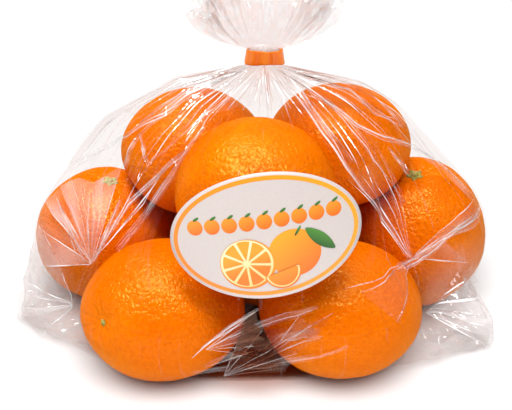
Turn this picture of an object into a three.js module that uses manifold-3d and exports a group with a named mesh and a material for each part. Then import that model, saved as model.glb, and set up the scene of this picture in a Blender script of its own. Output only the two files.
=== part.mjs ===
// A clear film bag of oranges, gathered at the neck by a band of orange tape, with an oval paper label.
// Millimetres, +Z up. It rests on z = 0, its length runs along X and the label faces -Y.
import * as THREE from 'three';
import { ConvexHull } from 'three/addons/math/ConvexHull.js';
import { mergeVertices } from 'three/addons/utils/BufferGeometryUtils.js';
import Module from 'manifold-3d';

const wasm = await Module();
wasm.setup();

// The fruit as they lie: place of the middle, then width, depth and height
const bottomRow = [
  { x: -44.5, y: -66.5, size: [81, 77, 67.5] },
  { x: 42.5, y: -65, size: [80.5, 76, 67.5] },
  { x: -81.5, y: 3.5, size: [76.5, 78.5, 73] },
  { x: 88, y: -0.5, size: [75, 83.5, 81] },
  { x: 7.5, y: -4, size: [70.5, 68, 67.5] },
  { x: -38, y: 65, size: [79.5, 79.5, 75.5] },
  { x: 39.5, y: 60, size: [81.5, 81, 82] },
];
const topRow = [
  { x: 1, y: -59, z: 93.5, size: [76.5, 76, 73.5] },
  { x: -32, y: 7, z: 85.5, size: [77, 77.5, 65.5] },
  { x: 44, y: 0.5, z: 92, size: [75.5, 76, 63.5] },
];

// The film: how far it hangs in between what holds it out, and where it does so less
const filmOffFruit = 0.6;
const filmSag = 6;
const edgeSoftness = 0.045;
const pleatDepth = 3.2;
const pleatCount = 22;
const pleatAtKink = 0.4;
const fades = {
  sagFromNeck: [70, 120],
  sagFromFloor: [0, 25],
  pleatFromNeck: [8, 60],
  pleatFromFloor: [0, 30],
  fromKink: [12, 50],
  fromLabel: [1.1, 1.5],
};
const rows = { around: 104, down: 38, baseFrom: 0.84, baseAt: 0.7 };

// Places where the film stands taut off the fruit, and its two bottom corners
const kinkRadius = 3;
const leftKinks = [[-38, -5, 129], [-77, -3, 107], [-89, -3, 91.5], [-110, -4, 59.5], [-122.5, -8, 21.5]];
const rightKinks = [
  [51, -5, 127.5], [72, -5, 114.5], [91, -5, 93.5], [105, -5, 77.5], [116, -4, 59.5], [122.5, -3, 36.5],
];
const leftEar = { tip: [-123.9, -27.5, 3], rise: 9 };
const rightEar = {
  tip: [119.6, -53.5, 3],
  rise: 14,
  root: [[104, -28, 48], [57, -86, 12], [104, 8, 6], [80, -30, 3]],
};

// The gathered neck, the tape round it and the film that fans out above
const neck = { x: 5, y: -6.5, bottom: 138.5, height: 9, width: 18, depth: 6.4, squareness: 0.12 };
const tape = { clearance: 0.3, wall: 0.8, flare: 1.2, aboveNeck: 0.9, height: 7.6 };
const fan = {
  root: 0.2, sideRise: 20, middleRise: 37, halfWidth: 36, halfDepth: 17, flute: 0.2, hollow: 14,
  opening: 2.4, deepening: 1.6, standing: 1.25, waves: [[3, 2.5, 1], [7, 1.5, 0]],
};

// The label: an oval, bent gently both ways, that lies on the film; its seat is that much wider
const label = {
  x: 5.3, y: -98.4, z: 93, halfWidth: 42.8, halfHeight: 28.8, thickness: 0.4,
  tilt: 12, roll: 8.5, bendAcross: 90, bendUp: 200, gap: 0.4, seat: 1.22,
};

const filmMaterial = new THREE.MeshStandardMaterial({ color: '#f0a35c', roughness: 0.2, metalness: 0 });
const tapeMaterial = new THREE.MeshStandardMaterial({ color: '#f57a14', roughness: 0.25, metalness: 0 });
const labelMaterial = new THREE.MeshStandardMaterial({ color: '#efe6e1', roughness: 0.55, metalness: 0 });

const degrees = Math.PI / 180;
const inner = new THREE.Vector3(neck.x, neck.y, 48);
const neckBottom = new THREE.Vector3(neck.x, neck.y, neck.bottom);

const fruit = [
  ...bottomRow.map(({ x, y, size }) => ({ x, y, z: size[2] / 2, size })),
  ...topRow,
].map(({ x, y, z, size }) => ({
  middle: new THREE.Vector3(x, y, z),
  half: new THREE.Vector3(...size).multiplyScalar(0.5),
}));

function ease(value, [low, high]) {
  return THREE.MathUtils.smoothstep(value, low, high);
}

// A closed mesh whose points are only shared positions
function weld(geometry) {
  geometry.deleteAttribute('normal');
  geometry.deleteAttribute('uv');
  return mergeVertices(geometry, 1e-3);
}

function toSolid(geometry) {
  const welded = weld(geometry);
  return new wasm.Manifold(new wasm.Mesh({
    numProp: 3,
    vertProperties: new Float32Array(welded.attributes.position.array),
    triVerts: new Uint32Array(welded.index.array),
  }));
}

function toGeometry(solid) {
  const mesh = solid.getMesh();
  const geometry = new THREE.BufferGeometry();
  geometry.setAttribute('position', new THREE.BufferAttribute(mesh.vertProperties, 3));
  geometry.setIndex(new THREE.BufferAttribute(mesh.triVerts, 1));
  geometry.computeVertexNormals();
  return geometry;
}

function movePoints(geometry, place) {
  const positions = geometry.attributes.position;
  const point = new THREE.Vector3();
  for (let i = 0; i < positions.count; i += 1) {
    place(point.fromBufferAttribute(positions, i));
    positions.setXYZ(i, point.x, point.y, point.z);
  }
  return geometry;
}

function ballPoints(middle, half, around = 22, down = 14) {
  const ball = new THREE.SphereGeometry(1, around, down);
  movePoints(ball, (point) => point.multiply(half).add(middle).setZ(Math.max(point.z, 0)));
  const places = ball.attributes.position;
  return Array.from({ length: places.count }, (_, i) => new THREE.Vector3().fromBufferAttribute(places, i));
}

function kinkPoints([x, y, z]) {
  return ballPoints(new THREE.Vector3(x, y, z), new THREE.Vector3().setScalar(kinkRadius), 8, 6);
}

function earPoints({ tip, rise, root = [] }) {
  const top = [tip[0], tip[1], tip[2] + rise];
  return [tip, top, ...root].flatMap(kinkPoints);
}

// The label's own axes: across, up and out of the film
const labelNormal = new THREE.Vector3(0, -Math.cos(label.tilt * degrees), Math.sin(label.tilt * degrees));
const labelAcross = new THREE.Vector3(1, 0, 0).applyAxisAngle(labelNormal, label.roll * degrees);
const labelUp = new THREE.Vector3().crossVectors(labelNormal, labelAcross);
const labelMiddle = new THREE.Vector3(label.x, label.y, label.z);

function labelPoint(across, up, out) {
  const drop = across * across / (2 * label.bendAcross) + up * up / (2 * label.bendUp);
  return labelMiddle.clone()
    .addScaledVector(labelAcross, across)
    .addScaledVector(labelUp, up)
    .addScaledVector(labelNormal, out - drop);
}

// The label's rim and rings just behind it, where the film lies against its back
function labelBackPoints() {
  const points = [];
  for (const ring of [0, 0.35, 0.7, 1]) {
    for (let turn = 0; turn < 32; turn += 1) {
      const angle = turn / 32 * 2 * Math.PI;
      const across = label.halfWidth * ring * Math.cos(angle);
      const up = label.halfHeight * ring * Math.sin(angle);
      points.push(labelPoint(across, up, -label.gap));
    }
  }
  return points;
}

// How far a ray from the inner point runs before it leaves a convex hull
function hullReach(hull, direction) {
  let reach = Infinity;
  for (const { normal, constant } of hull.faces) {
    const slope = normal.dot(direction);
    if (slope > 1e-9) reach = Math.min(reach, Math.max(constant - normal.dot(inner), 0) / slope);
  }
  return reach;
}

// The same for the furthest of some hulls, with their edges softened by a mean over nearby directions
function softReach(hulls, direction) {
  const sideways = new THREE.Vector3(-direction.y, direction.x, 0.001).normalize();
  const upwards = new THREE.Vector3().crossVectors(direction, sideways);
  const nearby = [direction];
  for (const side of [sideways, upwards]) {
    for (const turn of [-edgeSoftness, edgeSoftness]) {
      nearby.push(direction.clone().addScaledVector(side, turn).normalize());
    }
  }
  const reaches = nearby.map((ray) => Math.max(...hulls.map((hull) => hullReach(hull, ray))));
  return reaches.reduce((sum, reach) => sum + reach, 0) / reaches.length;
}

// How far it runs before it leaves the furthest fruit, or 0 where it meets none
function fruitReach(direction) {
  let reach = 0;
  for (const { middle, half } of fruit) {
    const ray = direction.clone().divide(half);
    const start = inner.clone().sub(middle).divide(half);
    const a = ray.lengthSq();
    const b = ray.dot(start);
    const root = b * b - a * (start.lengthSq() - 1);
    if (root > 0) reach = Math.max(reach, (Math.sqrt(root) - b) / a);
  }
  return reach;
}

// How far it runs to the film behind the label, and where it comes out: outward is 1 at the label's edge.
// Null where it never meets the label's bent plane.
function labelReach(direction) {
  const start = inner.clone().sub(labelMiddle);
  const [u, v, w] = [labelAcross, labelUp, labelNormal].map((axis) => start.dot(axis));
  const [du, dv, dw] = [labelAcross, labelUp, labelNormal].map((axis) => direction.dot(axis));
  const a = du * du / (2 * label.bendAcross) + dv * dv / (2 * label.bendUp);
  const b = u * du / label.bendAcross + v * dv / label.bendUp + dw;
  const c = u * u / (2 * label.bendAcross) + v * v / (2 * label.bendUp) + w + label.gap;
  const root = b * b - 4 * a * c;
  if (dw <= 0 || root < 0) return null;
  const reach = (-b + Math.sqrt(root)) / (2 * a);
  const across = (u + reach * du) / label.halfWidth;
  const up = (v + reach * dv) / label.halfHeight;
  return { reach, outward: Math.hypot(across, up) };
}

// Creases that run down from the neck, unevenly spread
const pleats = Array.from({ length: pleatCount }, (_, i) => ({
  angle: (i + 0.35 * Math.sin(i * 12.9)) / pleatCount * 2 * Math.PI,
  width: 0.085 + 0.02 * Math.sin(i * 7.3),
  depth: 0.6 + 0.4 * Math.sin(i * 4.1),
}));

function pleatAt(angle) {
  let depth = 0;
  for (const pleat of pleats) {
    const away = Math.abs(Math.atan2(Math.sin(angle - pleat.angle), Math.cos(angle - pleat.angle)));
    depth = Math.max(depth, pleat.depth * Math.max(0, 1 - away / pleat.width));
  }
  return depth;
}

const kinks = [...leftKinks, ...rightKinks, leftEar.tip, rightEar.tip]
  .map((place) => new THREE.Vector3(...place));

// Few rows of points are spent on the flat base: the rows above it lie closer
function aboveBase(point) {
  const turn = new THREE.Spherical().setFromCartesianCoords(point.x, point.z, point.y);
  const share = turn.phi / Math.PI;
  const above = share * rows.baseAt / rows.baseFrom;
  const below = rows.baseAt + (share - rows.baseFrom) * (1 - rows.baseAt) / (1 - rows.baseFrom);
  turn.phi = Math.PI * (share < rows.baseFrom ? above : below);
  const moved = new THREE.Vector3().setFromSpherical(turn);
  return new THREE.Vector3(moved.x, moved.z, moved.y).normalize();
}

function filmBody() {
  const tautPoints = [
    ...fruit.flatMap(({ middle, half }) => ballPoints(middle, half.clone().addScalar(filmOffFruit))),
    ...[...leftKinks, ...rightKinks].flatMap(kinkPoints),
    ...earPoints(leftEar),
    ...labelBackPoints(),
    ...ballPoints(neckBottom, new THREE.Vector3(neck.width / 2, neck.depth / 2, 0.5), 16, 4),
  ];
  const taut = new ConvexHull().setFromPoints(tautPoints);
  const ear = new ConvexHull().setFromPoints([inner, ...earPoints(rightEar)]);
  const ball = new THREE.SphereGeometry(1, rows.around, rows.down);
  ball.rotateX(Math.PI / 2);
  movePoints(ball, (point) => {
    const direction = aboveBase(point);
    const straight = softReach([taut, ear], direction);
    const place = inner.clone().addScaledVector(direction, straight);
    const fromNeck = place.distanceTo(neckBottom);
    const overLabel = labelReach(direction);
    const offLabel = overLabel ? ease(overLabel.outward, fades.fromLabel) : 1;
    const offKink = ease(Math.min(...kinks.map((kink) => kink.distanceTo(place))), fades.fromKink);
    const sag = filmSag * ease(fromNeck, fades.sagFromNeck) * ease(place.z, fades.sagFromFloor) * offKink;
    const pleat = pleatDepth * pleatAt(Math.atan2(direction.y, direction.x))
      * ease(fromNeck, fades.pleatFromNeck) * ease(place.z, fades.pleatFromFloor)
      * THREE.MathUtils.lerp(pleatAtKink, 1, offKink);
    let reach = Math.max(straight - (sag + pleat) * offLabel, fruitReach(direction) + filmOffFruit);
    if (overLabel && overLabel.outward < label.seat) reach = Math.min(reach, overLabel.reach);
    point.copy(inner).addScaledVector(direction, reach);
    if (point.z < 0.05) point.z = 0;
  });
  return ball;
}

// A band round the neck, or the neck itself: an oval wall or block, narrower at its top by the taper
function ovalBlock(halfWidth, halfDepth, low, high, taper = 0) {
  const block = new THREE.CylinderGeometry(1, 1, 1, 40, 1);
  block.rotateX(Math.PI / 2);
  return movePoints(block, (point) => {
    const up = point.z + 0.5;
    const squarer = 1 + neck.squareness * Math.sin(2 * Math.atan2(point.y, point.x)) ** 2;
    point.set(
      neck.x + point.x * (halfWidth - taper * up) * squarer,
      neck.y + point.y * halfDepth * squarer,
      THREE.MathUtils.lerp(low, high, up),
    );
  });
}

// The film above the tape: it flares fast, then stands up in flutes to an uneven hem
function filmFan() {
  const sleeve = new THREE.CylinderGeometry(1, 1, 1, 72, 8);
  sleeve.rotateX(Math.PI / 2);
  const low = neck.bottom + neck.height - fan.root;
  const start = { width: neck.width / 2 - tape.flare, depth: neck.depth / 2 };
  return movePoints(sleeve, (point) => {
    const up = point.z + 0.5;
    const across = Math.hypot(point.x, point.y);
    const angle = Math.atan2(point.y, point.x);
    const open = 1 - (1 - up) ** fan.opening;
    let hem = THREE.MathUtils.lerp(fan.sideRise, fan.middleRise, Math.abs(Math.sin(angle)) ** 0.8);
    for (const [count, height, phase] of fan.waves) hem += height * Math.sin(count * angle + phase);
    const flute = 1 + fan.flute * open * (0.6 * Math.sin(13 * angle + 1) + 0.4 * Math.sin(21 * angle));
    const rise = across < 0.5 ? (up > 0.5 ? fan.hollow : 0) : hem * up ** fan.standing;
    point.set(
      neck.x + point.x * THREE.MathUtils.lerp(start.width, fan.halfWidth, open) * flute,
      neck.y + point.y * THREE.MathUtils.lerp(start.depth, fan.halfDepth, up ** fan.deepening) * flute,
      low + rise,
    );
  });
}

function bagGeometry() {
  const [low, high] = [neck.bottom - 3, neck.bottom + neck.height + 1];
  const column = ovalBlock(neck.width / 2, neck.depth / 2, low, high, tape.flare);
  return toGeometry(toSolid(filmBody()).add(toSolid(column)).add(toSolid(filmFan())));
}

function tapeGeometry() {
  const [halfWidth, halfDepth] = [neck.width / 2 + tape.clearance, neck.depth / 2 + tape.clearance];
  const low = neck.bottom + tape.aboveNeck;
  const high = low + tape.height;
  const band = ovalBlock(halfWidth + tape.wall, halfDepth + tape.wall, low, high, tape.flare);
  const hole = ovalBlock(halfWidth, halfDepth, low - 1, high + 1, tape.flare);
  return toGeometry(toSolid(band).subtract(toSolid(hole)));
}

function labelGeometry() {
  const rings = 4;
  const profile = [];
  for (let i = 0; i <= rings; i += 1) profile.push(new THREE.Vector2(i / rings, -0.5));
  for (let i = rings; i >= 0; i -= 1) profile.push(new THREE.Vector2(i / rings, 0.5));
  const oval = new THREE.LatheGeometry(profile, 48);
  oval.rotateX(Math.PI / 2);
  movePoints(oval, (point) => {
    const out = (point.z + 0.5) * label.thickness;
    point.copy(labelPoint(point.x * label.halfWidth, point.y * label.halfHeight, out));
  });
  return toGeometry(toSolid(oval));
}

function named(name, geometry, material) {
  const mesh = new THREE.Mesh(geometry, material);
  mesh.name = name;
  return mesh;
}

const group = new THREE.Group();
group.add(
  named('bag', bagGeometry(), filmMaterial),
  named('neck_tape', tapeGeometry(), tapeMaterial),
  named('label', labelGeometry(), labelMaterial),
);

export default group;
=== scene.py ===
import functools
import math

import bmesh
import bpy
import numpy as np
from mathutils import Matrix, Vector, noise


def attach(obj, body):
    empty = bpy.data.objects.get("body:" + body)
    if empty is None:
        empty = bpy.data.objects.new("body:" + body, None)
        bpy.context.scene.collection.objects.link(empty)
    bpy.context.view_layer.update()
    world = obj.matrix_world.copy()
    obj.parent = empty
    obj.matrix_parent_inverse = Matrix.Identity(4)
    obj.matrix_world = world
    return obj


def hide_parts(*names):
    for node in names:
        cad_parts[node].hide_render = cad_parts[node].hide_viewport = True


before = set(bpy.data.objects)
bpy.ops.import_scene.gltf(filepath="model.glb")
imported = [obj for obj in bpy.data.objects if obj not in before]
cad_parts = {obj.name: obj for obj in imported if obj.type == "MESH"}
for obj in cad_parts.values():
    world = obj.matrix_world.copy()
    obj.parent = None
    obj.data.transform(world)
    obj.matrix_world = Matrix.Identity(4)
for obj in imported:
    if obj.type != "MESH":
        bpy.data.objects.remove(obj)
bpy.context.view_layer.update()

mm = 0.001


# Small helpers. Shapes are worked out in millimetres and stored in metres.

def linear(hexText):
    channels = [int(hexText[i:i + 2], 16) / 255 for i in (1, 3, 5)]
    return [c / 12.92 if c <= 0.04045 else ((c + 0.055) / 1.055) ** 2.4 for c in channels] + [1.0]


def unit(vectors):
    vectors = np.asarray(vectors, float)
    return vectors / np.linalg.norm(vectors, axis=-1, keepdims=True)


def ease(value, low, high):
    share = np.clip((np.asarray(value, float) - low) / (high - low), 0, 1)
    return share * share * (3 - 2 * share)


def pointsOf(bm):
    return np.array([v.co for v in bm.verts], float)


def placePoints(bm, points):
    for vert, point in zip(bm.verts, points):
        vert.co = point


def makePiece(name, bm, material):
    bmesh.ops.scale(bm, vec=(mm, mm, mm), verts=bm.verts)
    bmesh.ops.recalc_face_normals(bm, faces=bm.faces)
    mesh = bpy.data.meshes.new(name)
    bm.to_mesh(mesh)
    bm.free()
    for face in mesh.polygons:
        face.use_smooth = True
    piece = bpy.data.objects.new(name, mesh)
    bpy.context.scene.collection.objects.link(piece)
    mesh.materials.append(material)
    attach(piece, "root")
    return piece


def store(piece, **fields):
    for name, values in fields.items():
        kind, key = ("FLOAT_VECTOR", "vector") if np.ndim(values) == 2 else ("FLOAT", "value")
        if np.ndim(values) == 0:
            values = np.full(len(piece.data.vertices), values)
        attribute = piece.data.attributes.new(name, kind, "POINT")
        attribute.data.foreach_set(key, np.ravel(values).astype(np.float32))


def newMaterial(name):
    material = bpy.data.materials.new(name)
    material.use_nodes = True
    material.node_tree.nodes.clear()
    return material, functools.partial(addNode, material)


def addNode(material, kind, inputs=None, stops=None, **settings):
    # An input takes a value, a socket, or a node for that node's first output
    node = material.node_tree.nodes.new("ShaderNode" + kind)
    for key, value in settings.items():
        setattr(node, key, value)
    for key, value in (inputs or {}).items():
        if isinstance(value, bpy.types.Node):
            value = value.outputs[0]
        if isinstance(value, bpy.types.NodeSocket):
            material.node_tree.links.new(value, node.inputs[key])
        else:
            node.inputs[key].default_value = value
    if stops:
        ramp = node.color_ramp.elements
        while len(ramp) < len(stops):
            ramp.new(1.0)
        for element, (place, colour) in zip(ramp, stops):
            element.position = place
            element.color = colour
    return node


# The fruit as they lie: middle, then width, depth and height. stem is the way its stem end points, calyx is
# that one's size, and pale is how dry it looks

fruit = {
    "frontLeft": {"at": (-44.5, -66.5, 33.75), "size": (81, 77, 67.5), "stem": (-0.69, -0.67, 0.28),
                  "calyx": 0.4},
    "frontRight": {"at": (42.5, -65, 33.75), "size": (80.5, 76, 67.5), "stem": (0.62, 0.1, -0.77)},
    "left": {"at": (-81.5, 3.5, 36.5), "size": (76.5, 78.5, 73), "stem": (0.13, -0.09, 0.99), "pale": 0.35},
    "right": {"at": (88, -0.5, 40.5), "size": (75, 83.5, 81), "stem": (-0.11, -0.17, 0.98)},
    "middle": {"at": (7.5, -4, 33.75), "size": (70.5, 68, 67.5), "stem": (0.1, 0.3, -0.95)},
    "backLeft": {"at": (-38, 65, 37.75), "size": (79.5, 79.5, 75.5), "stem": (-0.35, 0.75, 0.55)},
    "backRight": {"at": (39.5, 60, 41), "size": (81.5, 81, 82), "stem": (0.72, 0.5, 0.48)},
    "topFront": {"at": (1, -59, 93.5), "size": (76.5, 76, 73.5), "stem": (0.2, 0.6, -0.77)},
    "topLeft": {"at": (-32, 7, 85.5), "size": (77, 77.5, 65.5), "stem": (-0.3, 0.85, 0.44)},
    "topRight": {"at": (44, 0.5, 92), "size": (75.5, 76, 63.5), "stem": (0.15, 0.93, 0.33)},
}
peelShape = {
    "across": 150, "down": 104,   # faces round and down each fruit
    "shrink": 0.35,               # kept off the film, mm
    "lump": 0.45, "lumpSize": 34, "lumps": 7,
    "dapple": 0.16, "dappleSize": 7,
    "stemDepth": 2.6, "stemRadius": 8, "shoulder": 0.7, "shoulderAt": 14, "shoulderWide": 6,
    "grooves": 11, "groove": 0.5,
    "tipDepth": 0.8, "tipRadius": 3.5,
    "press": 1.2,                 # rounding of the flat where two fruit press together, mm
    "table": 0.35, "tablePress": 0.6,
}


def makePeel():
    # Orange peel: a waxy rind, pebbled by oil glands under 2 mm apart, which break its glints into worms
    material, add = newMaterial("waxyOrangePeel")
    place = add("TexCoord").outputs["Object"]
    broad = add("TexNoise", {"Vector": place, "Scale": 1 / 0.030, "Detail": 2.0})
    dapple = add("TexNoise", {"Vector": place, "Scale": 1 / 0.0019, "Detail": 1.5, "Roughness": 0.5})
    glands = add("TexVoronoi", {"Vector": place, "Scale": 1 / 0.0012, "Randomness": 0.95}, feature="SMOOTH_F1")
    pores = add("MapRange", {"Value": glands, "From Min": 0.05, "From Max": 0.45})
    tone = add("ValToRGB", {"Fac": broad},
               [(0.30, linear("#e06900")), (0.55, linear("#e47000")), (0.75, linear("#e87a00"))])
    # Painted shade: the rind is darkened and reddened in the hollows of its pebbling (the same noise as the
    # bump), and darker and redder still in each gland pit
    fine = add("ValToRGB", {"Fac": dapple}, [(0.35, (0.88, 0.78, 0.78, 1)), (0.62, (1, 1, 1, 1))])
    toneAndHollowShade = add("Mix", {0: 0.7, 6: tone, 7: fine}, data_type="RGBA", blend_type="MULTIPLY")
    pitShade = add("Mix", {0: pores, 6: linear("#d05200"), 7: toneAndHollowShade.outputs[2]}, data_type="RGBA")
    colour = add("Mix", {0: 0.35, 6: toneAndHollowShade.outputs[2], 7: pitShade.outputs[2]}, data_type="RGBA")
    pebble = add("Bump", {"Height": dapple, "Distance": 0.00084, "Strength": 0.95})
    pits = add("Bump", {"Height": pores, "Distance": 0.0002, "Strength": 0.85, "Normal": pebble})
    rind = add("BsdfPrincipled", {
        "Base Color": colour.outputs[2], "Roughness": 0.6, "Specular IOR Level": 0.0, "Normal": pits,
        "Subsurface Weight": 0.10, "Subsurface Radius": (0.006, 0.0015, 0.0003), "Subsurface Scale": 0.6,
    })
    wax = add("BsdfGlossy", {"Color": (1.0, 0.74, 0.16, 1), "Roughness": 0.16, "Normal": pits})
    edge = add("LayerWeight", {"Blend": 0.5, "Normal": pits})
    steep = add("Math", {0: edge.outputs["Facing"], 1: 4.0}, operation="POWER")
    gloss = add("MapRange", {"Value": steep, "To Min": 0.042, "To Max": 0.25})
    peel = add("MixShader", {0: gloss, 1: rind, 2: wax})
    add("OutputMaterial", {"Surface": peel})
    return material


def makeStem():
    # Dried calyx: a woody green button, matt, browner at its rim
    material, add = newMaterial("driedGreenCalyx")
    place = add("TexCoord").outputs["Object"]
    grain = add("TexNoise", {"Vector": place, "Scale": 1 / 0.0012, "Detail": 4.0})
    pale = add("Attribute", attribute_name="pale").outputs["Fac"]
    green = add("ValToRGB", {"Fac": grain},
                [(0.3, linear("#6a661e")), (0.55, linear("#98963c")), (0.75, linear("#c0b868"))])
    straw = add("ValToRGB", {"Fac": grain},
                [(0.3, linear("#8a8436")), (0.55, linear("#bdb168")), (0.75, linear("#d8cf96"))])
    tone = add("Mix", {0: pale, 6: green, 7: straw}, data_type="RGBA")
    rough = add("Bump", {"Height": grain, "Distance": 0.0004, "Strength": 0.8})
    stem = add("BsdfPrincipled", {"Base Color": tone.outputs[2], "Roughness": 0.75, "Normal": rough})
    add("OutputMaterial", {"Surface": stem})
    return material


def turnTo(direction):
    return np.array(Vector(direction).normalized().to_track_quat("Z", "Y").to_matrix())


def pushBack(past, soft):
    # How far back to push what is past a plane; soft rounds the edge of the flat
    return np.where(past > soft, past, np.maximum(past + soft, 0) ** 2 / (4 * soft))


def pressFlat(points, one):
    # Where two fruit press together, both stop at the plane midway between them
    here = np.array(one["at"], float)
    for other in fruit.values():
        if other is one:
            continue
        apart = np.array(other["at"], float) - here
        gap = np.linalg.norm(apart)
        toOther = apart / gap
        reachHere = np.linalg.norm(np.array(one["size"]) / 2 * toOther)
        reachThere = np.linalg.norm(np.array(other["size"]) / 2 * toOther)
        if reachHere + reachThere < gap - 1:
            continue
        limit = reachHere + (gap - reachHere - reachThere) / 2 - 0.1
        cut = pushBack((points - here) @ toOther - limit, peelShape["press"])
        points = points - cut[:, None] * toOther
    points[:, 2] += pushBack(peelShape["table"] - points[:, 2], peelShape["tablePress"])
    return points


def peelPoints(local, one, seed):
    shape = peelShape
    draws = np.random.default_rng(seed)
    half = np.array(one["size"], float) / 2
    radius = half.mean()
    relief = np.full(len(local), -shape["shrink"])
    for _ in range(shape["lumps"]):
        wave = unit(draws.normal(size=3)) * 2 * math.pi * radius / shape["lumpSize"] * draws.uniform(0.5, 1.2)
        relief += 2 * shape["lump"] / shape["lumps"] * np.sin(local @ wave + draws.uniform(0, 6.3))
    offset = Vector(draws.uniform(0, 50, 3))
    size = radius / shape["dappleSize"]
    relief += [shape["dapple"] * noise.noise(Vector(p) * size + offset) for p in local]
    fromStem = np.arccos(np.clip(local[:, 2], -1, 1)) * radius
    around = np.arctan2(local[:, 1], local[:, 0])
    relief -= shape["stemDepth"] * np.exp(-(fromStem / shape["stemRadius"]) ** 2)
    relief += shape["shoulder"] * np.exp(-((fromStem - shape["shoulderAt"]) / shape["shoulderWide"]) ** 2)
    fade = ease(fromStem, 2, 7) * (1 - ease(fromStem, 12, 26))
    wander = around + 0.12 * np.sin(3 * around + seed) + 0.05 * np.sin(fromStem / 4)
    relief += shape["groove"] * fade * (np.abs(np.cos(wander * shape["grooves"] / 2)) ** 0.6 - 0.7)
    relief -= shape["tipDepth"] * np.exp(-((math.pi * radius - fromStem) / shape["tipRadius"]) ** 2)
    outward = local @ turnTo(one["stem"]).T
    length = np.linalg.norm(outward * half, axis=1, keepdims=True)
    return np.array(one["at"]) + outward * half * (1 + relief[:, None] / length)


def makeFruit(name, one, seed, peel, stem):
    bm = bmesh.new()
    bmesh.ops.create_uvsphere(bm, u_segments=peelShape["across"], v_segments=peelShape["down"], radius=1)
    placePoints(bm, pressFlat(peelPoints(unit(pointsOf(bm)), one, seed), one))
    makePiece("orange_" + name, bm, peel)
    makeCalyx(name, one, seed, stem)


calyx = {"radius": 3.9, "lobes": 5, "lobe": 0.26, "thick": 0.9, "nub": 1.6, "nubRise": 1.3}


def makeCalyx(name, one, seed, material):
    turn = turnTo(one["stem"])
    pole = pressFlat(peelPoints(np.array([[0.0, 0.0, 1.0]]), one, seed), one)[0]
    bm = bmesh.new()
    bmesh.ops.create_uvsphere(bm, u_segments=40, v_segments=12, radius=1)
    star = pointsOf(bm)
    around = np.arctan2(star[:, 1], star[:, 0])
    across = np.hypot(star[:, 0], star[:, 1])
    lobes = 1 + calyx["lobe"] * np.cos(calyx["lobes"] * around) * across ** 2
    star[:, :2] *= (calyx["radius"] * lobes)[:, None]
    star[:, 2] = star[:, 2] * calyx["thick"] + 0.7 * across ** 2
    placePoints(bm, star)
    nub = bmesh.ops.create_uvsphere(bm, u_segments=16, v_segments=10, radius=calyx["nub"])["verts"]
    bmesh.ops.scale(bm, vec=(1, 1, 0.8), verts=nub)
    bmesh.ops.translate(bm, vec=(0, 0, calyx["nubRise"] - 0.4), verts=nub)
    placePoints(bm, pole + one.get("calyx", 1) * pointsOf(bm) @ turn.T)
    pale = np.full(len(bm.verts), float(one.get("pale", 0)))
    pale[len(star):] = 0.9
    piece = makePiece("calyx_" + name, bm, material)
    store(piece, pale=pale)


peelMaterial = makePeel()
stemMaterial = makeStem()
for seed, (name, one) in enumerate(fruit.items(), 1):
    makeFruit(name, one, seed, peelMaterial, stemMaterial)
print("fruit made")


# The label's own axes: across, up and out of the film

label = {
    "at": (5.3, -98.4, 93), "halfWidth": 42.8, "halfHeight": 28.8, "thick": 0.22,
    "tilt": 12, "roll": 8.5, "bendAcross": 90, "bendUp": 200, "gap": 0.4,
    "rim": 1.5, "ring": 1.9, "ink": 0.05,
}
labelOut = np.array([0, -math.cos(math.radians(label["tilt"])), math.sin(math.radians(label["tilt"]))])
labelAcross = np.array(Matrix.Rotation(math.radians(label["roll"]), 3, Vector(labelOut)) @ Vector((1, 0, 0)))
labelUp = np.cross(labelOut, labelAcross)


def labelPoints(across, up, out):
    drop = across ** 2 / (2 * label["bendAcross"]) + up ** 2 / (2 * label["bendUp"])
    return (np.array(label["at"]) + np.outer(across, labelAcross) + np.outer(up, labelUp)
            + np.outer(out - drop, labelOut))


# The film: its kinks stand off the fruit, and it is gathered at the neck

film = {
    "across": 460, "down": 210,
    "rows": ((0, 0.84, 1), (0, 0.7, 1)),   # few rows of its mesh go to the flat bottom
    "offFruit": 0.6, "sag": 6, "softness": 0.02,
    "pleats": 22, "pleatDepth": 3.2, "pleatWide": 0.085,
    "gathers": 54, "gatherDepth": 1.5, "gatherWide": 0.05,
    "kink": 3, "cornerPush": 2.6,
    "inner": (5, -6.5, 48),
}
leftKinks = [(-38, -5, 129), (-77, -3, 107), (-89, -3, 91.5), (-110, -4, 59.5), (-122.5, -8, 21.5)]
rightKinks = [(51, -5, 127.5), (72, -5, 114.5), (91, -5, 93.5), (105, -5, 77.5), (116, -4, 59.5),
              (122.5, -3, 36.5)]
leftEar = [(-123.9, -27.5, 3), (-123.9, -27.5, 12)]
rightEar = [(119.6, -53.5, 3), (119.6, -53.5, 17)]
rightEarRoot = [(104, -28, 48), (57, -86, 12), (104, 8, 6), (80, -30, 3)]
neck = {"at": (5, -6.5), "bottom": 138.5, "height": 9, "width": 18, "depth": 6.4}
neckBottom = np.array([*neck["at"], neck["bottom"]], float)
inner = np.array(film["inner"], float)


def ballPoints(middle, half, across=22, down=14):
    bm = bmesh.new()
    bmesh.ops.create_uvsphere(bm, u_segments=across, v_segments=down, radius=1)
    points = pointsOf(bm) * half + np.array(middle, float)
    bm.free()
    points[:, 2] = np.maximum(points[:, 2], 0)
    return points


def hullPlanes(points):
    bm = bmesh.new()
    for point in points:
        bm.verts.new(point)
    made = bmesh.ops.convex_hull(bm, input=bm.verts)
    faces = [g for g in made["geom"] if isinstance(g, bmesh.types.BMFace)]
    normals = np.array([f.normal for f in faces])
    offsets = np.array([f.normal.dot(f.verts[0].co) for f in faces])
    middle = np.mean(points, axis=0)
    inward = offsets < normals @ middle
    normals[inward] *= -1
    offsets[inward] *= -1
    bm.free()
    return normals, offsets


def hullReach(planes, rays):
    normals, offsets = planes
    room = np.maximum(offsets - normals @ inner, 0)
    reach = np.empty(len(rays))
    for start in range(0, len(rays), 4000):
        slope = rays[start:start + 4000] @ normals.T
        reach[start:start + 4000] = np.where(slope > 1e-9, room / np.maximum(slope, 1e-9), np.inf).min(axis=1)
    return reach


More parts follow.
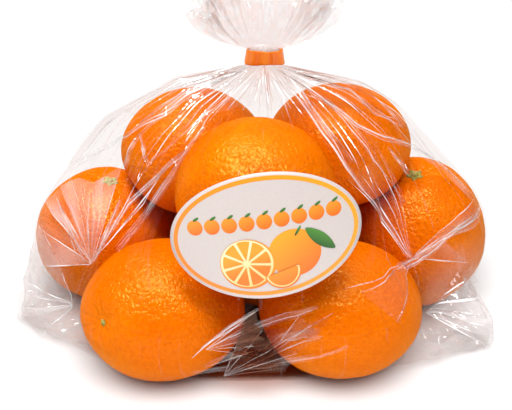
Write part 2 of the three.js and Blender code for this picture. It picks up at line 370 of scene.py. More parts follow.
def fruitReach(rays):
    reach = np.zeros(len(rays))
    for one in fruit.values():
        half = np.array(one["size"]) / 2
        ray = rays / half
        start = (inner - np.array(one["at"])) / half
        a = (ray ** 2).sum(axis=1)
        b = ray @ start
        root = b * b - a * (start @ start - 1)
        hit = np.where(root > 0, (np.sqrt(np.maximum(root, 0)) - b) / a, 0)
        reach = np.maximum(reach, hit)
    return reach


def labelReach(rays):
    axes = np.stack([labelAcross, labelUp, labelOut])
    u, v, w = axes @ (inner - np.array(label["at"]))
    du, dv, dw = (rays @ axes.T).T
    a = du ** 2 / (2 * label["bendAcross"]) + dv ** 2 / (2 * label["bendUp"])
    b = u * du / label["bendAcross"] + v * dv / label["bendUp"] + dw
    c = u * u / (2 * label["bendAcross"]) + v * v / (2 * label["bendUp"]) + w + label["gap"]
    root = b * b - 4 * a * c
    reach = (-b + np.sqrt(np.maximum(root, 0))) / (2 * a)
    outward = np.hypot((u + reach * du) / label["halfWidth"], (v + reach * dv) / label["halfHeight"])
    outward[(dw <= 0) | (root < 0)] = 9
    return reach, outward


def pleatAt(angle, count, width, seed):
    # Creases that run down from the neck, unevenly spread; 1 at the bottom of a crease
    depth = np.zeros(len(angle))
    for i in range(count):
        middle = (i + 0.35 * math.sin(i * 12.9 + seed)) / count * 2 * math.pi
        away = np.abs(np.arctan2(np.sin(angle - middle), np.cos(angle - middle)))
        own = 0.6 + 0.4 * math.sin(i * 4.1 + seed)
        ownWidth = width * (1 + 0.25 * math.sin(i * 7.3 + seed))
        depth = np.maximum(depth, own * np.clip(1 - away / ownWidth, 0, 1))
    return depth


def filmHulls():
    taut = [ballPoints(one["at"], np.array(one["size"]) / 2 + film["offFruit"]) for one in fruit.values()]
    taut += [ballPoints(place, film["kink"], 8, 6) for place in leftKinks + rightKinks + leftEar]
    turns = np.linspace(0, 2 * math.pi, 32, endpoint=False)
    for ring in (0, 0.35, 0.7, 1):
        taut.append(labelPoints(label["halfWidth"] * ring * np.cos(turns),
                                label["halfHeight"] * ring * np.sin(turns), np.full(32, -label["gap"])))
    taut.append(ballPoints(neckBottom, (neck["width"] / 2, neck["depth"] / 2, 0.5), 16, 4))
    ear = [ballPoints(place, film["kink"], 8, 6) for place in rightEar + rightEarRoot]
    return hullPlanes(np.vstack(taut)), hullPlanes(np.vstack([inner[None, :], *ear]))


tautPlanes, earPlanes = filmHulls()


def filmPlaces(rays):
    sideways = unit(np.stack([-rays[:, 1], rays[:, 0], np.full(len(rays), 0.001)], axis=1))
    upwards = np.cross(rays, sideways)
    straight = np.zeros(len(rays))
    turns = (-film["softness"], film["softness"])
    steps = [0 * sideways] + [turn * side for side in (sideways, upwards) for turn in turns]
    for step in steps:
        near = unit(rays + step)
        straight += np.maximum(hullReach(tautPlanes, near), hullReach(earPlanes, near)) / len(steps)
    place = inner + rays * straight[:, None]
    fromNeck = np.linalg.norm(place - neckBottom, axis=1)
    overLabel, outward = labelReach(rays)
    offLabel = ease(outward, 1.1, 1.5)
    kinks = np.array(leftKinks + rightKinks + leftEar[:1] + rightEar[:1])
    toKink = np.min([np.linalg.norm(place - kink, axis=1) for kink in kinks], axis=0)
    offKink = ease(toKink, 12, 50)
    angle = np.arctan2(rays[:, 1], rays[:, 0])
    high = place[:, 2]
    sag = film["sag"] * ease(fromNeck, 70, 120) * ease(high, 0, 25) * offKink
    crease = film["pleatDepth"] * pleatAt(angle, film["pleats"], film["pleatWide"], 0) \
        * ease(fromNeck, 8, 60) * ease(high, 0, 30) * (0.4 + 0.6 * offKink)
    gather = film["gatherDepth"] * pleatAt(angle, film["gathers"], film["gatherWide"], 2) \
        * ease(fromNeck, 6, 26) * (1 - ease(fromNeck, 45, 110))
    reach = np.maximum(straight - (sag + crease + gather) * offLabel, fruitReach(rays) + film["offFruit"])
    reach = np.where(outward < 1.1, np.minimum(reach, overLabel), reach)
    place = inner + rays * reach[:, None]
    return place, fromNeck, angle, offLabel


def makeFilm():
    # Clear polypropylene film: nearly unseen face on, mirror-like at a slant, and white where a crease
    # scatters light;
    # its thin white crease lines are partly painted highlights. The fields stored on each piece say where it
    # is milky, creased or doubled, where a pink tint paints the fruit's light into doubled film, and where a
    # painted warm shade lies
    material, add = newMaterial("clearPolypropyleneFilm")
    pleat = add("Attribute", attribute_name="pleatSpace").outputs["Vector"]
    crumple, milk, shine, layers, warm = [add("Attribute", attribute_name=name).outputs["Fac"]
                                          for name in ("crumple", "milk", "shine", "layers", "warm")]
    place = add("TexCoord").outputs["Object"]
    wide = add("TexVoronoi", {"Vector": pleat, "Scale": 0.33}, feature="DISTANCE_TO_EDGE")
    wideLines = add("MapRange", {"Value": wide, "From Max": 0.05, "To Min": 1.0, "To Max": 0.0})
    ripple = add("TexNoise", {"Vector": pleat, "Scale": 0.9, "Detail": 2.0})
    strands = add("TexNoise", {"Vector": pleat, "Scale": 1.3, "Detail": 3.0, "Roughness": 0.6})
    strandShine = add("MapRange", {"Value": strands, "From Min": 0.62, "From Max": 0.67, "To Max": 0.05})
    crinkle = add("TexVoronoi", {"Vector": place, "Scale": 1 / 0.007}, feature="F1")
    folds = add("Bump", {"Height": ripple, "Distance": 0.0008, "Strength": 0.5})
    facets = add("Bump", {"Height": crinkle, "Distance": 0.003, "Strength": crumple, "Normal": folds})
    creases = add("Bump", {"Height": wideLines, "Distance": 0.0004, "Strength": 0.5, "Normal": facets})
    edge = add("LayerWeight", {"Blend": 0.5, "Normal": creases})
    steep = add("Math", {0: edge.outputs["Facing"], 1: 5.0}, operation="POWER")
    sheen = add("MapRange", {"Value": steep, "To Min": 0.0006, "To Max": 0.12})
    drawn = add("Math", {0: strandShine, 1: shine}, operation="ADD")
    mirror = add("Math", {0: sheen, 1: drawn}, operation="ADD", use_clamp=True)
    # Doubled film passes less light; the pink of that tint is painted light, standing in for the fruit's
    # orange glow on the film
    passed = add("Mix", {0: layers, 6: (0.988, 0.982, 0.98, 1), 7: (0.90, 0.84, 0.82, 1)}, data_type="RGBA")
    # Painted warm shade: where its field is set, what shows through the film turns dark orange-brown and its
    # white haze orange
    passAndPaintedShade = add("Mix", {0: warm, 6: passed.outputs[2], 7: (0.55, 0.22, 0.10, 1)}, data_type="RGBA")
    clear = add("BsdfTransparent", {"Color": passAndPaintedShade.outputs[2]})
    gloss = add("BsdfGlossy", {"Color": (1, 1, 1, 1), "Roughness": 0.07, "Normal": creases})
    hazeAndPaintedShade = add("Mix", {0: warm, 6: (0.9, 0.89, 0.89, 1), 7: (0.9, 0.42, 0.21, 1)}, data_type="RGBA")
    white = add("BsdfDiffuse", {"Color": hazeAndPaintedShade.outputs[2]})
    skin = add("MixShader", {0: mirror, 1: clear, 2: gloss})
    # The white mixed in is the haze of doubled and crumpled film; along the crease lines it is partly painted
    # highlight
    scatter = add("MixShader", {0: milk, 1: skin, 2: white})
    add("OutputMaterial", {"Surface": scatter})
    return material


def gapPaintedShade(places):
    # Painted shade: over the deep gap between the two front fruit the film is tinted dark orange-brown,
    # standing in for the shadow and the fruit's bounced light there
    halfWide = 3 + 0.22 * (62 - places[:, 2])
    between = 1 - ease(np.abs(places[:, 0] - 1) - halfWide, -2, 5)
    return between * ease(-places[:, 1], 80, 90) * (1 - ease(places[:, 2], 58, 70))


def pleatSpace(angle, around, down):
    # A space for patterns that run along the pleats: round the bag, and far slower down it
    return np.stack([around * np.cos(angle), around * np.sin(angle), down], axis=1)


def makeFilmBody(material):
    bm = bmesh.new()
    bmesh.ops.create_uvsphere(bm, u_segments=film["across"], v_segments=film["down"], radius=1)
    rays = unit(pointsOf(bm))
    polar = np.arccos(np.clip(rays[:, 2], -1, 1)) / math.pi
    polar = math.pi * np.interp(polar, *film["rows"])
    around = np.arctan2(rays[:, 1], rays[:, 0])
    rays = np.stack([np.sin(polar) * np.cos(around), np.sin(polar) * np.sin(around), np.cos(polar)], axis=1)
    place, fromNeck, angle, offLabel = filmPlaces(rays)

    # Crumpled corners: sharp little facets that fade away from the tips
    tips = np.array([leftEar[0], rightEar[0]], float)
    toTip = np.min([np.linalg.norm(place - tip, axis=1) for tip in tips], axis=0)
    crumple = 1 - ease(toTip, 18, 62)
    reach = np.linalg.norm(place - inner, axis=1)
    least = fruitReach(rays) + film["offFruit"]
    for i in np.flatnonzero(crumple > 0.01):
        at = Vector(place[i])
        push = 0.5 + noise.noise(at / 9) + 0.6 * abs(noise.noise(at / 5 + Vector((7, 3, 1))))
        reach[i] = max(reach[i] - film["cornerPush"] * crumple[i] * push, least[i])
    place = inner + rays * reach[:, None]
    # The wall runs up inside the tape
    oval = np.hypot((place[:, 0] - neck["at"][0]) / (neck["width"] / 2),
                    (place[:, 1] - neck["at"][1]) / (neck["depth"] / 2))
    column = (oval < 1) & (place[:, 2] > neck["bottom"] - 3)
    place[column, 2] += 5 * np.sqrt(1 - oval[column] ** 2)
    place[:, 2] = np.maximum(place[:, 2], 0.05)
    placePoints(bm, place)
    piece = makePiece("film_body", bm, material)
    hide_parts("bag")
    onTable = (1 - ease(place[:, 2], 0.5, 3)) * (1 - crumple)
    # Painted warm shade: film lying on the table under the fruit is tinted dark orange-brown, fading out
    # towards the front
    shadeUnderFruit = 1 - ease(np.hypot(place[:, 0] / 40, (place[:, 1] + 55) / 56), 0.6, 1.0)
    shadeUnderFruit *= ease(place[:, 1], -98, -72)
    store(piece, pleatSpace=pleatSpace(angle, 26.0, fromNeck / 55),
          crumple=np.clip(0.06 + crumple, 0, 1) * offLabel,
          milk=0.02 * (1 - ease(fromNeck, 8, 60)) + 0.12 * crumple,
          layers=np.clip(0.30 + 0.7 * (1 - ease(fromNeck, 6, 60)) - 0.2 * crumple, 0, 1),
          shine=0.12 * crumple + 0.4 * onTable,
          warm=np.maximum(onTable * shadeUnderFruit, 0.2 * gapPaintedShade(place) * (1 - crumple)))


filmMaterial = makeFilm()
makeFilmBody(filmMaterial)
print("film body made")


# Folds: the film is drawn from the neck into the notches between the fruit and out to its two corners.
# Each fan runs from one point to a row of others, with a flat facet of doubled film between every two and a
# crease to each: where it starts, least and most milk of its facets, how white its creases (partly painted
# highlight), where it runs to

leftNotch = (-79, -57, 54)
rightNotch = (75, -63, 61)
fans = {
    "leftNotch": (leftNotch, (0.06, 0.32), 0.9, [
        (-112, -22, 32), (-116, -8, 50), (-109, -9, 63), (-103, -10, 69), (-98, -13, 74), (-92, -16, 79),
        (-86, -22, 83), (-80, -30, 85), (-72, -36, 91), (-64, -38, 98)]),
    "leftDrawn": (leftNotch, (0.0, 0.008), 1.0, [
        (-60, -54, 87), (-49, -52, 106), (-39, -65, 110), (-34, -63, 115), (-28, -62, 118)]),
    "leftShoulder": ((-1, -11, 138), (0.0, 0.006), 0.9, [
        (-96, -4, 84), (-92, -12, 85), (-65, -11, 115), (-54, -26, 116), (-55, -33, 112), (-49, -53, 105),
        (-34, -49, 118), (-28, -53, 121), (-28, -62, 118)]),
    "neckFront": ((5, -10, 139), (0.0, 0.06), 0.9, [
        (-19, -46, 127), (-12, -46, 129), (-5, -46, 130), (0, -46, 131), (3, -46, 131), (7, -48, 131),
        (12, -46, 130), (17, -44, 130), (22, -46, 128), (27, -44, 128)]),
    "rightShoulder": ((12, -10, 138), (0.0, 0.006), 0.9, [
        (44, -77, 111), (48, -68, 110), (56, -53, 111), (62, -35, 113), (58, -24, 121), (58, -9, 126),
        (80, -22, 100), (102, -14, 80)]),
    "rightDrawn": (rightNotch, (0.0, 0.03), 1.1, [
        (41, -80, 112), (47, -69, 110), (52, -62, 110), (56, -53, 111)]),
    "rightNotch": (rightNotch, (0.02, 0.10), 0.7, [
        (104, -34, 42), (94, -41, 58), (106, -28, 58), (115, -16, 60), (116, -12, 68)]),
    "frontRight": (rightNotch, (0.0, 0.03), 0.35, [
        (38, -96, 64), (48, -90, 60), (60, -86, 46)]),
    "rightCorner": ((85, -62, 29), (0.08, 0.40), 1.0, [
        (113, -32, 38), (115, -30, 31), (118, -21, 22), (120, -40, 14), (122, -51, 7), (119, -53, 3)]),
    "leftCorner": ((-88, -61, 33), (0.06, 0.36), 0.9, [
        (-112, -14, 53), (-119, -24, 25), (-122, -24, 19), (-124, -26, 10), (-125, -26, 3), (-112, -46, 3)]),
    "frontGap": ((-22, -99, 34), (0.01, 0.05), 0.25, [
        (2, -98, 30), (6, -98, 36), (5, -98, 41), (-4, -97, 44), (2, -98, 50), (1, -100, 56)]),
    "gapStreaks": ((-14, -98, 18), (0.0, 0.04), 0.15, [
        (14, -97, 22), (20, -99, 32), (28, -100, 42), (36, -97, 53), (19, -98, 47), (4, -97, 44),
        (-3, -97, 50)]),
    "frontGapRight": ((8, -97, 30), (0.0, 0.03), 0.15, [
        (30, -99, 42), (26, -98, 47), (21, -97, 52)]),
}


def overFilm(points, lift):
    # Straight where the film hangs free below it, and on the film where that bulges
    away = points - inner
    distance = np.linalg.norm(away, axis=1)
    rays = away / distance[:, None]
    place, *_ = filmPlaces(rays)
    reach = np.maximum(np.linalg.norm(place - inner, axis=1), distance) + lift
    return inner + rays * reach[:, None]


def gridSpots(bm, along, across):
    made = bmesh.ops.create_grid(bm, x_segments=along, y_segments=across, size=1)["verts"]
    return (np.array([v.co for v in made], float)[:, :2] + 1) / 2


def makeFacets(name, facets, material, seed):
    draws = np.random.default_rng(seed)
    bm = bmesh.new()
    points, lifts, milks, shines = [], [], [], []
    for corners, lift, milk in facets:
        spots = gridSpots(bm, 16, 4)
        u = 0.03 + 0.97 * spots[:, :1]
        v = spots[:, 1:]
        a, b, c = (np.array(p, float) for p in corners)
        points.append(a + u * (b + v * (c - b) - a))
        lifts.append(0.3 + (u * (lift[0] + v * (lift[1] - lift[0])))[:, 0])
        wave = u[:, 0] * draws.uniform(3, 9) + v[:, 0] * draws.uniform(-4, 4) + draws.uniform(0, 6)
        drift = 0.65 + 0.35 * np.sin(wave)
        milks.append(milk * drift)
        shines.append(draws.uniform(0.0, 0.006) * drift)
    points = np.vstack(points)
    places = overFilm(points, np.concatenate(lifts))
    places[:, 2] = np.maximum(places[:, 2], 0.1)
    placePoints(bm, places)
    piece = makePiece(name, bm, material)
    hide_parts("bag")
    # Painted shade: over the gap the facets get more haze and a dark orange-brown tint
    warmth = gapPaintedShade(places)
    store(piece, milk=np.concatenate(milks) * (1 + 1.2 * warmth), shine=np.concatenate(shines), crumple=0.1,
          layers=0.2, warm=0.8 * warmth, pleatSpace=points / 4)


def alongLine(through, share):
    through = np.array(through, float)
    steps = np.linalg.norm(np.diff(through, axis=0), axis=1)
    marks = np.concatenate([[0], np.cumsum(steps)]) / steps.sum()
    return np.stack([np.interp(share, marks, through[:, i]) for i in range(3)], axis=1)


def makeCreases(name, lines, material, seed, lift=0.7, shine=0.25, across=1):
    # Each line: the points it runs through, how white it is (for crease lines, partly painted highlight), how
    # wide, and how far it stands to one side
    draws = np.random.default_rng(seed)
    bm = bmesh.new()
    points, milks, sides = [], [], []
    for through, strength, width, shift in lines:
        spots = gridSpots(bm, 44, across)
        u, v = spots[:, 0], spots[:, 1] - 0.5
        points.append(alongLine(through, u))
        middle = points[-1].mean(axis=0)
        side = unit(np.cross(np.array(through[-1], float) - np.array(through[0], float), middle - inner))
        swell = np.sin(math.pi * np.clip(u, 0.001, 0.999)) ** 0.6
        beat = 0.6 + 0.4 * np.sin(u * draws.uniform(8, 20) + draws.uniform(0, 6))
        sides.append(np.outer(v * width * (0.35 + 0.65 * swell) + shift * (0.3 + 0.7 * u), side))
        edge = 1 if across == 1 else (1 - (2 * np.abs(v)) ** 3) * (0.7 + 0.6 * v * draws.choice([-1, 1]))
        milks.append(strength * swell * beat * edge)
    places = overFilm(np.vstack(points) + np.vstack(sides), lift)
    places[:, 2] = np.maximum(places[:, 2], 0.15)
    placePoints(bm, places)
    piece = makePiece(name, bm, material)
    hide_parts("bag")
    # Painted warm shade on the creases over the gap between the front fruit
    store(piece, milk=np.concatenate(milks), shine=shine, crumple=0, layers=0, warm=0.35 * gapPaintedShade(places),
          pleatSpace=places / 4)


# The main folds: a soft band of doubled film, with crisp lines along it.
# Each row: how wide, how milky, how white its lines (partly painted highlight), how many of them, and the
# points that it runs through
bundles = [
    (1.6, 0.14, 1.5, 2, [(-5, -10, 138), (-13, -37, 132), (-31, -52, 122), (-49, -52, 106)]),
    (6, 0.30, 0.8, 6, [(-4, -13, 138), (-21, -18, 133), (-37, -25, 126), (-48, -29, 119)]),
    (5, 0.20, 0.7, 4, [(-8, -14, 137), (-26, -20, 132), (-46, -23, 122), (-56, -27, 115)]),
    (3, 0.22, 0.9, 3, [(-11, -13, 136), (-26, -26, 131), (-43, -29, 120), (-61, -29, 110), (-80, -19, 95)]),
    (5, 0.20, 0.7, 4, [(-61, -29, 110), (-80, -19, 95), (-101, -2, 72)]),
    (4, 0.25, 1.1, 5, [(-31, -61, 117), (-44, -63, 105), (-59, -55, 87), (-69, -55, 71), (-78, -58, 56)]),
    (5, 0.20, 0.9, 4, [(-22, -54, 126), (-30, -62, 118), (-37, -69, 108), (-49, -69, 89), (-65, -65, 66)]),
    (3, 0.3, 1, 3, [(-55, -33, 113), (-52, -42, 109), (-49, -52, 106)]),
    (3, 0.3, 0.8, 3, [(-55, -33, 113), (-59, -36, 104), (-62, -40, 96)]),
    (5, 0.4, 1, 5, [(-64, -48, 85), (-71, -53, 70), (-77, -60, 57)]),
    (6, 0.4, 1, 5, [(-82, -30, 80), (-82, -42, 68), (-81, -54, 54)]),
    (5, 0.3, 0.9, 4, [(-101, -16, 68), (-92, -34, 60), (-83, -52, 52)]),
    (3.5, 0.25, 1.5, 4, [(15, -18, 136), (20, -33, 132), (31, -56, 124), (42, -73, 114), (49, -77, 105),
     (62, -67, 82), (74, -64, 62)]),
    (4, 0.28, 0.9, 4, [(18, -14, 136), (26, -40, 130), (35, -57, 123), (44, -68, 114)]),
    (5, 0.30, 1.1, 5, [(19, -12, 137), (28, -29, 131), (48, -41, 121), (63, -35, 111), (79, -22, 101),
     (91, -19, 90)]),
    (3, 0.3, 1, 3, [(64, -38, 108), (70, -39, 100), (75, -40, 93)]),
    (2, 0.1, 0.9, 3, [(31, -28, 131), (42, -43, 124), (55, -55, 109), (71, -55, 87)]),
    (6, 0.30, 0.9, 5, [(118, -12, 63), (101, -35, 61), (84, -51, 57), (67, -72, 62)]),
    (4, 0.2, 0.9, 4, [(28, -17, 133), (47, -17, 129), (58, -24, 120), (75, -17, 109)]),
    (4, 0.15, 1, 3, [(57, -10, 125), (66, -16, 118), (74, -18, 110)]),
    (7, 0.25, 0.9, 5, [(79, -23, 100), (95, -16, 87), (115, -14, 66)]),
    (1.8, 0.30, 1.5, 4, [(-28, -101, 32), (-13, -97, 44), (2, -102, 59)]),
    (1.0, 0.30, 1.3, 2, [(-24, -100, 36), (-10, -98, 45), (-1, -98, 50)]),
    (5, 0.22, 0.25, 2, [(-12, -98, 39), (4, -97, 47), (17, -96, 51), (29, -96, 56)]),
    (6, 0.30, 0.3, 2, [(-23, -97, 23), (-6, -99, 32), (11, -96, 38), (30, -99, 45)]),
    (5, 0.26, 0.35, 2, [(-29, -100, 21), (-7, -96, 22), (13, -94, 23), (28, -101, 31)]),
    (2.5, 0.16, 0.45, 2, [(-5, -96, 20), (13, -94, 23), (30, -102, 32), (43, -103, 39)]),
]


def makeFolds(material):
    draws = np.random.default_rng(11)
    facets, lines = [], []
    for root, milk, whiteness, ends in fans.values():
        for i, (one, two) in enumerate(zip(ends, ends[1:])):
            lift = (0.2, draws.uniform(1.2, 2.6)) if i % 2 else (draws.uniform(1.2, 2.6), 0.2)
            facets.append(((root, one, two), lift, draws.uniform(*milk)))
        for end in ends:
            lines.append(((root, end), whiteness * draws.uniform(0.5, 1.3), draws.uniform(0.3, 0.65), 0))
    makeFacets("film_facets", facets, material, 21)
    makeCreases("film_creases", lines, material, 22)

    bands, lines = [], []
    for wide, milk, crisp, count, through in bundles:
        bands.append((through, 0.75 * milk, wide, 0))
        for _ in range(count):
            shift = draws.uniform(-0.6, 0.6) * wide
            lines.append((through, crisp * draws.uniform(0.25, 0.7), draws.uniform(0.2, 0.5), shift))
    makeCreases("film_bands", bands, material, 24, lift=0.5, shine=0.02, across=7)
    makeCreases("film_band_lines", lines, material, 25, lift=0.9)

    # Finer creases all the way round, so that the sides and back are drawn in like the front; their white is
    # partly painted highlight
    lines = []
    for _ in range(110):
        turn = draws.uniform(-math.pi, math.pi)
        start = math.radians(draws.uniform(3, 25))
        end = start + math.radians(draws.uniform(15, 75))
        rays = np.array([[math.sin(p) * math.cos(t), math.sin(p) * math.sin(t), math.cos(p)]
                         for p, t in ((start, turn), (end, turn + draws.uniform(-0.12, 0.12)))])
        ends, _, _, offLabel = filmPlaces(rays)
        if offLabel.min() > 0.99:
            front = math.sin(turn) < -0.3
            whiteness = draws.uniform(0.1, 0.5) * (0.7 if front else 1)
            lines.append(((ends[0], ends[1]), whiteness, draws.uniform(0.2, 0.5), 0))
    makeCreases("film_fine_creases", lines, material, 23)


makeFolds(filmMaterial)
print("film folds made")


# The film above the tape: it flares fast, then stands up in flutes to an uneven hem

fan = {
    "around": 300, "rows": 26, "flare": 147.3,
    "sideRise": 20, "middleRise": 37, "halfWidth": 33, "halfDepth": 17, "flute": 0.2,
    "crinkle": 1.4,
}


def fanWall(angle, up, inside):
    spread = 1 - (1 - np.clip(up, 0, 1)) ** 2.4
    side = np.abs(np.sin(angle)) ** 0.8
    hem = fan["sideRise"] + (fan["middleRise"] - fan["sideRise"]) * side \
        + 2.5 * np.sin(3 * angle + 1) + 1.5 * np.sin(7 * angle)
    jag = 1.6 * np.abs(np.sin(11.5 * angle)) + 1.1 * np.abs(np.sin(18.3 * angle + 2))
    rough = 0.6 * np.sin(13 * angle + 1) + 0.4 * np.sin(21 * angle) + 0.22 * np.sin(34 * angle + 2) * up
    flute = 1 + fan["flute"] * spread * rough
    shrink = 1 - inside * (0.04 + 0.34 * (1 - up) ** 0.7 * ease(up, 0.0, 0.3))
    width = (neck["width"] / 2 - 1.0) * (1 - spread) + fan["halfWidth"] * spread
    deep = np.clip(up, 0, 1) ** 1.6
    depth = (neck["depth"] / 2 + 0.2) * (1 - deep) + fan["halfDepth"] * deep
    x = neck["at"][0] + np.cos(angle) * width * flute * shrink
    y = neck["at"][1] + np.sin(angle) * depth * flute * shrink
    z = fan["flare"] + (hem - jag * ease(up, 0.6, 1)) * up ** 1.25
    return x, y, z


def makeFilmFan(material):
    bm = bmesh.new()
    rows = fan["rows"]
    profile = [bm.verts.new((1, 0, i)) for i in range(2 * rows)]
    edges = [bm.edges.new(pair) for pair in zip(profile, profile[1:])]
    bmesh.ops.spin(bm, geom=profile + edges, cent=(0, 0, 0), axis=(0, 0, 1), angle=2 * math.pi,
                   steps=fan["around"], use_merge=True)
    grid = pointsOf(bm)
    angle = np.arctan2(grid[:, 1], grid[:, 0])
    row = grid[:, 2]
    inside = (row >= rows).astype(float)
    up = np.where(inside > 0, (2 * rows - 1 - row) / (rows - 1), row / (rows - 1))
    stem = 0.14   # the share of the wall that stands inside the tape
    rise = (up - stem) / (1 - stem)
    free = np.clip(rise, 0, 1)
    x, y, z = fanWall(angle, free, inside)
    z = np.where(rise < 0, fan["flare"] + rise / stem * (1 - stem) * 5, z)
    for i in range(len(x)):
        x[i] += fan["crinkle"] * free[i] * noise.noise(Vector((x[i], y[i], z[i] * 0.5)) / 5)
        y[i] += fan["crinkle"] * free[i] * noise.noise(Vector((y[i], z[i] * 0.5, x[i])) / 5)
    placePoints(bm, np.stack([x, y, z], axis=1))
    piece = makePiece("film_fan", bm, material)
    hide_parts("bag")
    store(piece, pleatSpace=pleatSpace(angle, 14, 3 + up * 0.8), crumple=0.35 + 0.4 * free, milk=0.12,
          shine=0.08, layers=0.05)


def makeThroat(material):
    # The film is gathered tight where it comes out of the tape: many layers, so that it reads white
    bm = bmesh.new()
    bmesh.ops.create_uvsphere(bm, u_segments=220, v_segments=24, radius=1)
    grid = pointsOf(bm)
    angle = np.arctan2(grid[:, 1], grid[:, 0])
    across = np.hypot(grid[:, 0], grid[:, 1])
    pleat = 0.12 * np.sin(23 * angle + 1) + 0.08 * np.sin(37 * angle)
    grid[:, 0] *= neck["width"] / 2 - 1.7
    grid[:, 1] *= neck["depth"] / 2 - 0.3
    grid[:, 2] = (grid[:, 2] + pleat * across) * 3.2
    placePoints(bm, grid + np.array([*neck["at"], 145.6]))
    piece = makePiece("film_throat", bm, material)
    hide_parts("bag")
    store(piece, pleatSpace=pleatSpace(angle, 12, across), milk=0.5, crumple=0.1, shine=0.1, layers=0.1)


makeFilmFan(filmMaterial)
makeThroat(filmMaterial)
print("film fan made")


# The band of tape round the neck, with its free end lapped over on the front

tape = {"wall": 0.35, "clear": 0.35, "flare": 1.2, "low": 139.4, "high": 147, "around": 120, "rows": 10}


def makeTape():
    # Polypropylene tape: smooth saturated orange plastic with a clear gloss
    material, add = newMaterial("glossyOrangeTape")
    place = add("TexCoord").outputs["Object"]
    streak = add("Mapping", {"Vector": place, "Scale": (1, 1, 0.12)})
    stretch = add("TexNoise", {"Vector": streak, "Scale": 1 / 0.0022, "Detail": 2.0})
    tone = add("ValToRGB", {"Fac": stretch},
               [(0.35, linear("#f87200")), (0.65, linear("#ff9416"))])
    crease = add("Bump", {"Height": stretch, "Distance": 0.0011, "Strength": 0.8})
    plastic = add("BsdfPrincipled", {"Base Color": tone, "Roughness": 0.16, "IOR": 1.5, "Normal": crease})
    add("OutputMaterial", {"Surface": plastic})
    return material


def tapeRound(angle, up, out):
    squarer = 1 + 0.12 * np.sin(2 * angle) ** 2
    wrinkle = 0.12 * np.sin(9 * angle + 1) + 0.08 * np.sin(16 * angle)
    width = neck["width"] / 2 + tape["clear"] + out + wrinkle - tape["flare"] * up
    depth = neck["depth"] / 2 + tape["clear"] + out + wrinkle
    x = neck["at"][0] + np.cos(angle) * width * squarer
    y = neck["at"][1] + np.sin(angle) * depth * squarer
    edge = 0.25 * np.sin(3 * angle + 2)
    z = tape["low"] + 0.3 + (tape["high"] - tape["low"] - 0.5) * up + edge * (2 * up - 1)
    return np.stack([x, y, z], axis=1)


def bandMesh(startAngle, sweep, closed, out):
    bm = bmesh.new()
    rows = tape["rows"]
    profile = [bm.verts.new((1, 0, i / rows)) for i in range(rows + 1)]
    edges = [bm.edges.new(pair) for pair in zip(profile, profile[1:])]
    bmesh.ops.spin(bm, geom=profile + edges, cent=(0, 0, 0), axis=(0, 0, 1), angle=sweep,
                   steps=tape["around"], use_merge=closed)
    grid = pointsOf(bm)
    angle = np.arctan2(grid[:, 1], grid[:, 0]) + startAngle
    placePoints(bm, tapeRound(angle, grid[:, 2], out))
    return bm


def makeTapeBand(material):
    for name, start, sweep, closed, out in (
        ("tape_band", 0, 2 * math.pi, True, 0.0),
        ("tape_lap", math.radians(-66), math.radians(95), False, tape["wall"] + 0.1),
    ):
        piece = makePiece(name, bandMesh(start, sweep, closed, out), material)
        wall = piece.modifiers.new("wall", "SOLIDIFY")
        wall.thickness = tape["wall"] * mm
        wall.offset = 1
        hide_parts("neck_tape")


makeTapeBand(makeTape())
print("tape made")


# The label's paper and its printed shapes, each a thin layer that follows the label's bend

def makePaper():
    # Coated label paper: satin off-white with a fine fibre that breaks up its sheen
    material, add = newMaterial("satinLabelPaper")
    place = add("TexCoord").outputs["Object"]
    fibre = add("TexNoise", {"Vector": place, "Scale": 1 / 0.0008, "Detail": 4.0})
    tone = add("ValToRGB", {"Fac": fibre}, [(0.3, linear("#bfb4b0")), (0.7, linear("#c5bab6"))])
    tooth = add("Bump", {"Height": fibre, "Distance": 0.00006, "Strength": 0.5})
    paper = add("BsdfPrincipled", {"Base Color": tone, "Roughness": 0.45, "Normal": tooth})
    add("OutputMaterial", {"Surface": paper})
    return material


def makeInk(name, dark, light):
    # Offset ink on coated paper: a colour that grades from edge to edge of its shape, with a low sheen
    material, add = newMaterial(name + "Ink")
    shade = add("Attribute", attribute_name="shade").outputs["Fac"]
    place = add("TexCoord").outputs["Object"]
    speckle = add("TexNoise", {"Vector": place, "Scale": 1 / 0.0007, "Detail": 2.0})
    mixed = add("Math", {0: speckle, 1: 0.16, 2: shade}, operation="MULTIPLY_ADD")
    tone = add("ValToRGB", {"Fac": mixed}, [(0.1, linear(dark)), (1.0, linear(light))])
    ink = add("BsdfPrincipled", {"Base Color": tone, "Roughness": 0.4})
    add("OutputMaterial", {"Surface": ink})
    return material


def discMesh(rings, steps, innerShare=0.0):
    bm = bmesh.new()
    line = [bm.verts.new((innerShare + (1 - innerShare) * i / rings, 0, 0)) for i in range(rings + 1)]
    edges = [bm.edges.new(pair) for pair in zip(line, line[1:])]
    bmesh.ops.spin(bm, geom=line + edges, cent=(0, 0, 0), axis=(0, 0, 1), angle=2 * math.pi, steps=steps,
                   use_merge=True)
    bmesh.ops.remove_doubles(bm, verts=bm.verts, dist=1e-5)
    return bm


def printShape(name, material, layer, outline, middle, turn=0.0, rings=8, steps=72, innerShare=0.0,
               shadeFrom=(-0.3, 1.0)):
    bm = discMesh(rings, steps, innerShare)
    grid = pointsOf(bm)
    angle = np.arctan2(grid[:, 1], grid[:, 0])
    share = np.hypot(grid[:, 0], grid[:, 1])
    across, up = outline(angle, share)
    c, s = math.cos(math.radians(turn)), math.sin(math.radians(turn))
    across, up = middle[0] + across * c - up * s, middle[1] + across * s + up * c
    placePoints(bm, labelPoints(across, up, np.full(len(up), label["thick"] + label["ink"] * layer)))
    piece = makePiece(name, bm, material)
    reach = max(np.ptp(across), np.ptp(up)) / 2 + 1e-6
    towards = ((across - middle[0]) * shadeFrom[0] + (up - middle[1]) * shadeFrom[1]) / reach
    store(piece, shade=np.clip(0.5 + 0.5 * towards, 0, 1))


